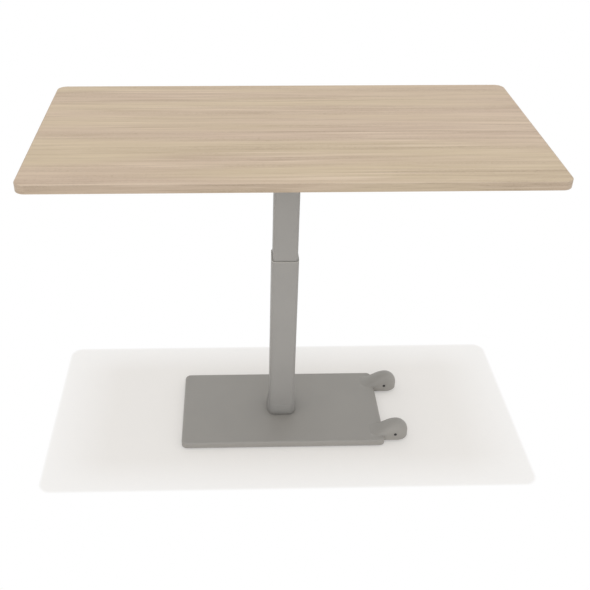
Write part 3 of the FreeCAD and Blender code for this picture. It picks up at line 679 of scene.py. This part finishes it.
def makeScrews():
    lean = math.radians(woodScrews["armAngle"])
    places = [(sideX * reach * math.cos(lean), sideY * reach * math.sin(lean), woodScrews["seat"])
              for sideX in (-1, 1) for sideY in (-1, 1) for reach in woodScrews["reaches"]]
    addPiece(setScrews(woodScrews, places), "woodScrews", "lift", "zinc_steel", ["wood_screws"])
    places = []
    for side in (-1, 1):
        for step in (-1, 1):
            y = side * housingScrews["wheel"] + step * housingScrews["apart"] / 2
            places.append((housingScrews["back"], y, housingScrews["seat"]))
    addPiece(setScrews(housingScrews, places), "housingScrews", "base", "zinc_steel", ["housing_screws"])
    mesh = setScrews(gripScrews, [(0, y, gripScrews["seat"]) for y in gripScrews["places"]])
    dropLever(mesh)
    addPiece(mesh, "gripScrews", "release_lever", "zinc_steel", ["grip_screws"])


makeScrews()
print("screws set")


# paddle of the release lever, with finger grooves under it
grip = {
    "width": 0.084,
    "length": 0.072,
    "thick": 0.009,
    "place": (0.0, -0.277, 1.071),
    "corner": 0.012,
    "cornerSteps": 8,
    "edge": 0.003,
    "edgeSteps": 4,
    "grooves": (-0.3015, -0.2965, -0.2525, -0.2475),
    "grooveReach": 0.026,
    "grooveWidth": 0.0026,
    "grooveDepth": 0.0007,
    "grooveRim": 0.0005,
    "facesDown": -0.999,
}


def undersides(mesh):
    return [face for face in mesh.faces if face.normal.z < grip["facesDown"]]


def inGroove(face):
    spot = face.calc_center_median()
    nearest = min(abs(spot.y - y) for y in grip["grooves"])
    return abs(spot.x) < grip["grooveReach"] and nearest < grip["grooveRim"]


def makeGrip():
    mesh = bmesh.new()
    bmesh.ops.create_cube(mesh, size=1.0)
    bmesh.ops.scale(mesh, verts=mesh.verts, vec=(grip["width"], grip["length"], grip["thick"]))
    bmesh.ops.translate(mesh, verts=mesh.verts, vec=grip["place"])
    uprights = [edge for edge in mesh.edges if not liesLevel(edge)]
    bevelEdges(mesh, uprights, grip["corner"], grip["cornerSteps"])
    rims = [edge for edge in mesh.edges if liesLevel(edge)]
    bevelEdges(mesh, rims, grip["edge"], grip["edgeSteps"])
    # the underside is cut into strips, and the groove strips are sunk
    mesh.normal_update()
    half = grip["grooveWidth"] / 2
    cuts = [((0, y + step * half, 0), (0, 1, 0)) for y in grip["grooves"] for step in (-1, 1)]
    cuts += [((side * grip["grooveReach"], 0, 0), (1, 0, 0)) for side in (-1, 1)]
    for place, across in cuts:
        patch = undersides(mesh)
        edges = once(edge for face in patch for edge in face.edges)
        verts = once(vert for face in patch for vert in face.verts)
        bmesh.ops.bisect_plane(mesh, geom=patch + edges + verts, plane_co=place, plane_no=across)
        mesh.normal_update()
    strips = [face for face in undersides(mesh) if inGroove(face)]
    sinkFaces(mesh, strips, grip["grooveRim"], grip["grooveDepth"])
    dropLever(mesh)
    addPiece(mesh, "leverGrip", "release_lever", "black_plastic", ["lever_grip"])
    print("grip grooves:", len(strips))


makeGrip()


# tip-and-roll wheels: grooved tread on a ribbed hub; profiles in mm, (along the axle, radius)
wheel = {
    "x": 0.393,
    "y": 0.133,
    "z": 0.032,
    "steps": 60,
    "tread": ((-13, 21), (-13, 25), (-12.7, 26.3), (-11.9, 27.4), (-10, 28), (-6.6, 28), (-6.2, 26.8),
              (-4.8, 26.8), (-4.4, 28), (-1, 28), (-0.7, 26.8), (0.7, 26.8), (1, 28), (4.4, 28),
              (4.8, 26.8), (6.2, 26.8), (6.6, 28), (10, 28), (11.9, 27.4), (12.7, 26.3), (13, 25), (13, 21)),
    "hub": ((-13, 4.05), (-13, 7.6), (-12.6, 8), (-9, 8.3), (-9, 17.2), (-12.6, 17.5), (-13, 17.9),
            (-13, 21), (13, 21), (13, 17.9), (12.6, 17.5), (9, 17.2), (9, 8.3), (12.6, 8), (13, 7.6),
            (13, 4.05)),
    "blocks": (0.0066, 0.010),     # the shoulders of the tread, from its middle
    "blocksPast": 0.0275,
    "blockRim": 0.0004,
    "siping": 0.0006,
    "ribs": 6,
    "rib": (0.0100, 0.0032, 0.0018),
    "ribEdge": 0.0005,
    "ribEdgeSteps": 2,
    "ribPlace": (0.01275, 0.0105),     # out from the axle, and along it from the middle
}


def makeTyre(end, centre):
    mesh = bmesh.new()
    turnProfile(mesh, inMetres(wheel["tread"]), centre, (0, 1, 0), wheel["steps"])
    bmesh.ops.recalc_face_normals(mesh, faces=mesh.faces)
    near, far = wheel["blocks"]
    blocks = []
    for face in mesh.faces:
        spot = face.calc_center_median() - centre
        onTread = math.hypot(spot.x, spot.z) > wheel["blocksPast"]
        if near < abs(spot.y) < far and onTread and stepRound(spot.x, spot.z, wheel["steps"]) % 2 == 0:
            blocks.append(face)
    sinkFaces(mesh, blocks, wheel["blockRim"], wheel["siping"])
    addPiece(mesh, "wheelTyre" + end, "wheel_" + end.lower(), "tyre_rubber", ["wheel_tyre_" + end.lower()])


def addRib(mesh, face, turn, centre):
    length, rise, thick = wheel["rib"]
    out, deep = wheel["ribPlace"]
    rib = bmesh.ops.create_cube(mesh, size=1.0)["verts"]
    bmesh.ops.scale(mesh, verts=rib, vec=(length, rise, thick))
    edges = once(edge for vert in rib for edge in vert.link_edges)
    tops = [edge for edge in edges if abs(edge.verts[0].co.x - edge.verts[1].co.x) > length / 2
            and edge.verts[0].co.y * face > 0]
    rib += bevelEdges(mesh, tops, wheel["ribEdge"], wheel["ribEdgeSteps"])["verts"]
    rib = once(vert for vert in rib if vert.is_valid)
    bmesh.ops.translate(mesh, verts=rib, vec=(out, face * deep, 0))
    bmesh.ops.rotate(mesh, verts=rib, cent=(0, 0, 0), matrix=Matrix.Rotation(turn, 3, "Y"))
    bmesh.ops.translate(mesh, verts=rib, vec=centre)


def makeHub(end, centre):
    mesh = bmesh.new()
    turnProfile(mesh, inMetres(wheel["hub"]), centre, (0, 1, 0), wheel["steps"])
    for face in (-1, 1):
        for index in range(wheel["ribs"]):
            addRib(mesh, face, index * 2 * math.pi / wheel["ribs"], centre)
    addPiece(mesh, "wheelHub" + end, "wheel_" + end.lower(), "black_plastic", ["wheel_hub_" + end.lower()])


for end, side in (("Front", -1), ("Rear", 1)):
    centre = Vector((wheel["x"], side * wheel["y"], wheel["z"]))
    makeTyre(end, centre)
    makeHub(end, centre)

# snap-in plugs over the ends of the axles
plug = {
    "reach": 0.035,
    "steps": 32,
    "profile": ((-2.8, 0), (-2.8, 3.6), (-1.2, 3.7), (-0.4, 3.7), (-0.4, 5.0), (0.0, 5.2), (0.25, 4.9),
                (0.4, 3.6), (0.42, 1.4), (0.2, 0.9), (0.15, 0)),
}


def makePlugs():
    mesh = bmesh.new()
    for side in (-1, 1):
        for face in (-1, 1):
            centre = (wheel["x"], side * wheel["y"] + face * plug["reach"], wheel["z"])
            turnProfile(mesh, inMetres(plug["profile"]), centre, (0, face, 0), plug["steps"], closed=False)
    addPiece(mesh, "axlePlugs", "base", "black_plastic")


makePlugs()
print("wheels fitted")


# levelling glides: moulded feet with a knurled rim and a ring groove under them
glide = {
    "x": 0.300,
    "y": 0.145,
    "steps": 48,
    "profile": ((0.7, 0), (0.7, 8.4), (0, 9.4), (0, 15.3), (0.4, 16.5), (1.4, 17), (4.6, 17), (5.6, 16.5),
                (6, 15.3), (6, 7.2), (5.2, 6.6), (5.2, 4.05), (3.0, 4.0), (3.0, 0)),
    "rim": (0.0014, 0.0046),
    "rimPast": 0.0165,
    "knurlRim": 0.0003,
    "knurl": 0.0005,
}


def makeGlide(name, sideX, sideY):
    centre = Vector((sideX * glide["x"], sideY * glide["y"], 0))
    mesh = bmesh.new()
    turnProfile(mesh, inMetres(glide["profile"]), centre, (0, 0, 1), glide["steps"], closed=False)
    bmesh.ops.recalc_face_normals(mesh, faces=mesh.faces)
    low, high = glide["rim"]
    notches = []
    for face in mesh.faces:
        spot = face.calc_center_median() - centre
        onRim = math.hypot(spot.x, spot.y) > glide["rimPast"]
        if low < spot.z < high and onRim and stepRound(spot.x, spot.y, glide["steps"]) % 2 == 0:
            notches.append(face)
    sinkFaces(mesh, notches, glide["knurlRim"], glide["knurl"])
    pieceName = "glidePad" + "".join(word.capitalize() for word in name.split("_"))
    addPiece(mesh, pieceName, "glide_" + name, "black_plastic", ["glide_pad_" + name])


for sideX, across in ((-1, "left"), (1, "right")):
    for sideY, along in ((-1, "front"), (1, "rear")):
        makeGlide(along + "_" + across, sideX, sideY)
print("glides fitted")


# welds: a rippled bead round the inner tube under the head plate, and one along each flange of the arms
weld = {
    "tube": 0.080,
    "corner": 0.010,
    "cornerSteps": 9,
    "sideFrom": 0.02,     # edges longer than this are sides
    "sideShare": 0.75,
    "plateUnder": 1.047,
    "plateTop": 1.053,
    "leg": 0.0026,
    "crest": 0.72,
    "ripple": 0.0005,
    "pitch": 0.0021,
    "armAngle": 27.0,
    "armHalf": 0.020,
    "start": 0.062,
    "end": 0.104,
    "belly": 0.62,
    "swell": 1.16,
    "sharp": 60,          # degrees from which an edge is shaded sharp
}


def makeTubeWeld():
    leg, under = weld["leg"], weld["plateUnder"]
    outside = weld["tube"] + 2 * leg
    mesh = roundedPlate(outside, outside, under, weld["corner"] + leg, weld["cornerSteps"])
    sides = [edge for edge in mesh.edges if edge.calc_length() > weld["sideFrom"]]
    bmesh.ops.subdivide_edges(mesh, edges=sides, cuts=int(weld["tube"] * weld["sideShare"] / weld["pitch"]))
    inner = mesh.faces[:]
    outline = mesh.edges[:]
    insetRing(mesh, inner, leg / 2)
    for index, vert in enumerate(list(inner[0].verts)):
        vert.co.z -= leg * weld["crest"] + (index % 2) * weld["ripple"]
    insetRing(mesh, inner, leg / 2)
    for vert in inner[0].verts:
        vert.co.z = under - leg
    bore = list(inner[0].edges)
    bmesh.ops.delete(mesh, geom=inner, context="FACES_ONLY")
    raised = bmesh.ops.extrude_edge_only(mesh, edges=bore)["geom"]
    for vert in only(raised, bmesh.types.BMVert):
        vert.co.z = under
    upper = [edge for edge in only(raised, bmesh.types.BMEdge) if edge.is_boundary]
    bmesh.ops.bridge_loops(mesh, edges=outline + upper)
    addPiece(mesh, "tubeWeld", "lift", "black_paint", sharp=weld["sharp"])


def layBead(mesh, flange, turn):
    leg, belly = weld["leg"], weld["belly"] * weld["leg"]
    flangeY, plateZ = flange * weld["armHalf"], weld["plateTop"]
    section = [(0, 0), (leg, 0), (belly, belly), (0, leg)]
    bead = [mesh.verts.new((weld["start"], flange * (weld["armHalf"] + out), plateZ + up))
            for out, up in section]
    face = mesh.faces.new(bead)
    for step in range(int((weld["end"] - weld["start"]) / weld["pitch"])):
        grown = bmesh.ops.extrude_face_region(mesh, geom=[face])["geom"]
        if step:
            bmesh.ops.delete(mesh, geom=[face], context="FACES_ONLY")
        face = only(grown, bmesh.types.BMFace)[0]
        fresh = only(grown, bmesh.types.BMVert)
        bmesh.ops.translate(mesh, verts=fresh, vec=(weld["pitch"], 0, 0))
        swell = weld["swell"] if step % 2 == 0 else 1 / weld["swell"]
        for vert in fresh:
            vert.co.y = flangeY + (vert.co.y - flangeY) * swell
            vert.co.z = plateZ + (vert.co.z - plateZ) * swell
        bead += fresh
    bmesh.ops.rotate(mesh, verts=bead, cent=(0, 0, 0), matrix=Matrix.Rotation(turn, 3, "Z"))


def makeArmWelds():
    mesh = bmesh.new()
    lean = math.radians(weld["armAngle"])
    for sideX in (-1, 1):
        for sideY in (-1, 1):
            turn = math.atan2(sideY * math.sin(lean), sideX * math.cos(lean))
            for flange in (-1, 1):
                layBead(mesh, flange, turn)
    addPiece(mesh, "armWelds", "lift", "black_paint", sharp=weld["sharp"])


makeTubeWeld()
makeArmWelds()
print("welds laid")


# studio: even light all round, one high lamp overhead and a soft fill from the viewer's side
studio = {
    "white": (1.0, 1.0, 1.0, 1.0),
    "sky": 0.80,
    "lampPlace": (-0.073, -0.033, 8.4),
    "lampPower": 435.0,
    "lampRadius": 0.12,
    "fillSize": 3.0,
    "fillPower": 16.0,
    "fillPlace": (-0.2, -3.4, 1.3),
    "fillAim": (0.0, 0.0, 0.5),
    "floorTone": (0.97, 0.934, 0.886, 1.0),
    "floorLevel": -0.0006,
    "floorRadius": 14.0,
    "floorSteps": 96,
    "patch": (0.786, 0.345, 0.0),      # half sizes of the shaded patch, without its round corners
    "patchCorner": 0.035,
    "patchCentre": (0.011, 0.005, 0.0),
    "patchPaintedLight": (0.28, 0.56),         # painted light: how much white is mixed in, at its middle and at its edge
    "patchSlope": (0.20, 0.14),
    "fade": 0.014,
}


def directRays(tree):
    path = put(tree, "LightPath").outputs
    direct = reckon(tree, "MAXIMUM", path["Is Camera Ray"], path["Is Glossy Ray"])
    return reckon(tree, "MAXIMUM", direct, path["Is Transmission Ray"])


def lightStudio():
    world = bpy.data.worlds.new("studio")
    world.use_nodes = True
    tree = world.node_tree
    tree.nodes.clear()
    sky = put(tree, "Background", {"Color": studio["white"], "Strength": studio["sky"]})
    seen = put(tree, "Background", {"Color": studio["white"], "Strength": 1.0})
    both = put(tree, "MixShader", {0: directRays(tree), 1: sky.outputs[0], 2: seen.outputs[0]})
    put(tree, "OutputWorld", {"Surface": both.outputs[0]})
    scene.world = world
    lamp = bpy.data.lights.new("overhead", "POINT")
    lamp.energy = studio["lampPower"]
    lamp.shadow_soft_size = studio["lampRadius"]
    overhead = bpy.data.objects.new("overhead", lamp)
    overhead.location = studio["lampPlace"]
    scene.collection.objects.link(overhead)
    fill = bpy.data.lights.new("fill", "AREA")
    fill.shape = "SQUARE"
    fill.size = studio["fillSize"]
    fill.energy = studio["fillPower"]
    panel = bpy.data.objects.new("fill", fill)
    place = Vector(studio["fillPlace"])
    aim = (Vector(studio["fillAim"]) - place).to_track_quat("-Z", "Y").to_matrix().to_4x4()
    panel.matrix_world = Matrix.Translation(place) @ aim
    scene.collection.objects.link(panel)


def patchPaintedLight(tree):
    # painted light on the floor: the patch that the top shades is painted paler towards its edges, and
    # outside it the floor is painted white, which draws the patch's edge inside the real shadow
    spot = put(tree, "TexCoord").outputs["Object"]
    offset = vectors(tree, "SUBTRACT", spot, studio["patchCentre"])
    sides = put(tree, "VectorMath", {0: offset}, operation="ABSOLUTE").outputs[0]
    past = vectors(tree, "SUBTRACT", sides, studio["patch"])
    apart = put(tree, "SeparateXYZ", {0: past}).outputs
    corner = studio["patchCorner"]
    slopeX, slopeY = studio["patchSlope"]
    inX = ramp(tree, apart["X"], corner - slopeX, corner, 1.0, 0.0)
    inY = ramp(tree, apart["Y"], corner - slopeY, corner, 1.0, 0.0)
    low, high = studio["patchPaintedLight"]
    inside = ramp(tree, times(tree, inX, inY), 0.0, 1.0, high, low)
    outside = vectors(tree, "MAXIMUM", past, (0, 0, 0))
    reach = put(tree, "VectorMath", {0: outside}, operation="LENGTH").outputs["Value"]
    return put(tree, "MapRange", {0: reach, 1: corner, 2: corner + studio["fade"], 3: inside, 4: 1.0},
               interpolation_type="SMOOTHSTEP").outputs[0]


def layFloor():
    mesh = bmesh.new()
    bmesh.ops.create_circle(mesh, cap_ends=True, segments=studio["floorSteps"], radius=studio["floorRadius"])
    bmesh.ops.translate(mesh, verts=mesh.verts, vec=(0, 0, studio["floorLevel"]))
    data = bpy.data.meshes.new("floor")
    mesh.to_mesh(data)
    mesh.free()
    floor = bpy.data.objects.new("floor", data)
    scene.collection.objects.link(floor)
    material = bpy.data.materials.new("floor")
    material.use_nodes = True
    tree = material.node_tree
    tree.nodes.clear()
    matt = put(tree, "BsdfDiffuse", {"Color": studio["floorTone"]})
    white = put(tree, "Emission", {"Color": studio["white"], "Strength": 1.0})
    share = times(tree, patchPaintedLight(tree), directRays(tree))
    both = put(tree, "MixShader", {0: share, 1: matt.outputs[0], 2: white.outputs[0]})
    # seen from below, the floor lets the view through
    below = put(tree, "NewGeometry").outputs["Backfacing"]
    clear = put(tree, "BsdfTransparent")
    sided = put(tree, "MixShader", {0: below, 1: both.outputs[0], 2: clear.outputs[0]})
    put(tree, "OutputMaterial", {"Surface": sided.outputs[0]})
    data.materials.append(material)


lightStudio()
layFloor()
print("studio lit")
